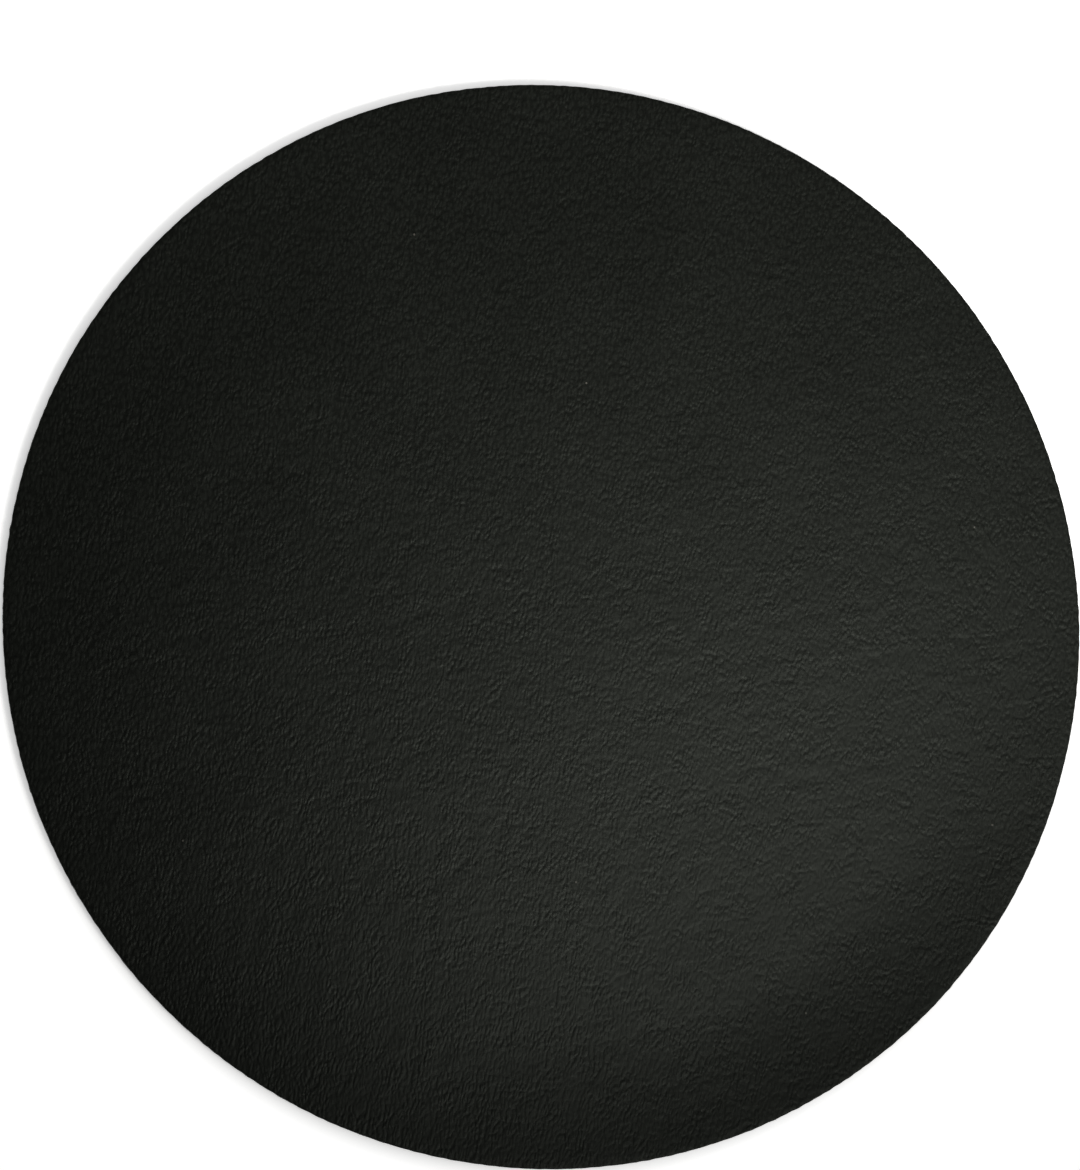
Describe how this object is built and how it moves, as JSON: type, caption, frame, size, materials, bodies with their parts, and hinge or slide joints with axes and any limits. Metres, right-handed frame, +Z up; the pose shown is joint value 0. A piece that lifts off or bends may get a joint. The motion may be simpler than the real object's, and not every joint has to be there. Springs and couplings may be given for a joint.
{
  "type": "mouse pad",
  "caption": "Round black mouse pad: a pebble-grained leather-look face on a cloth backing, bonded to a non-slip rubber base and cut to a plain circle.",
  "frame": {"origin": "centre of the underside, on the surface that the pad rests on", "axes": "+Z up, square to the flat faces; +Y away from the person using it; +X to that person's right"},
  "size_m": [0.254, 0.254, 0.003],
  "materials": {
    "base_rubber": "matt black cellular rubber with a fine grip relief underneath",
    "adhesive": "thin dark adhesive film",
    "backing_cloth": "dark knitted backing with short cut fibres",
    "face_leather": "black pebble grain, low sheen"
  },
  "bodies": {
    "root": {"rubber_base": "base_rubber", "bond_film": "adhesive", "carrier_cloth": "backing_cloth", "leather_face": "face_leather"}
  },
  "joints": []
}
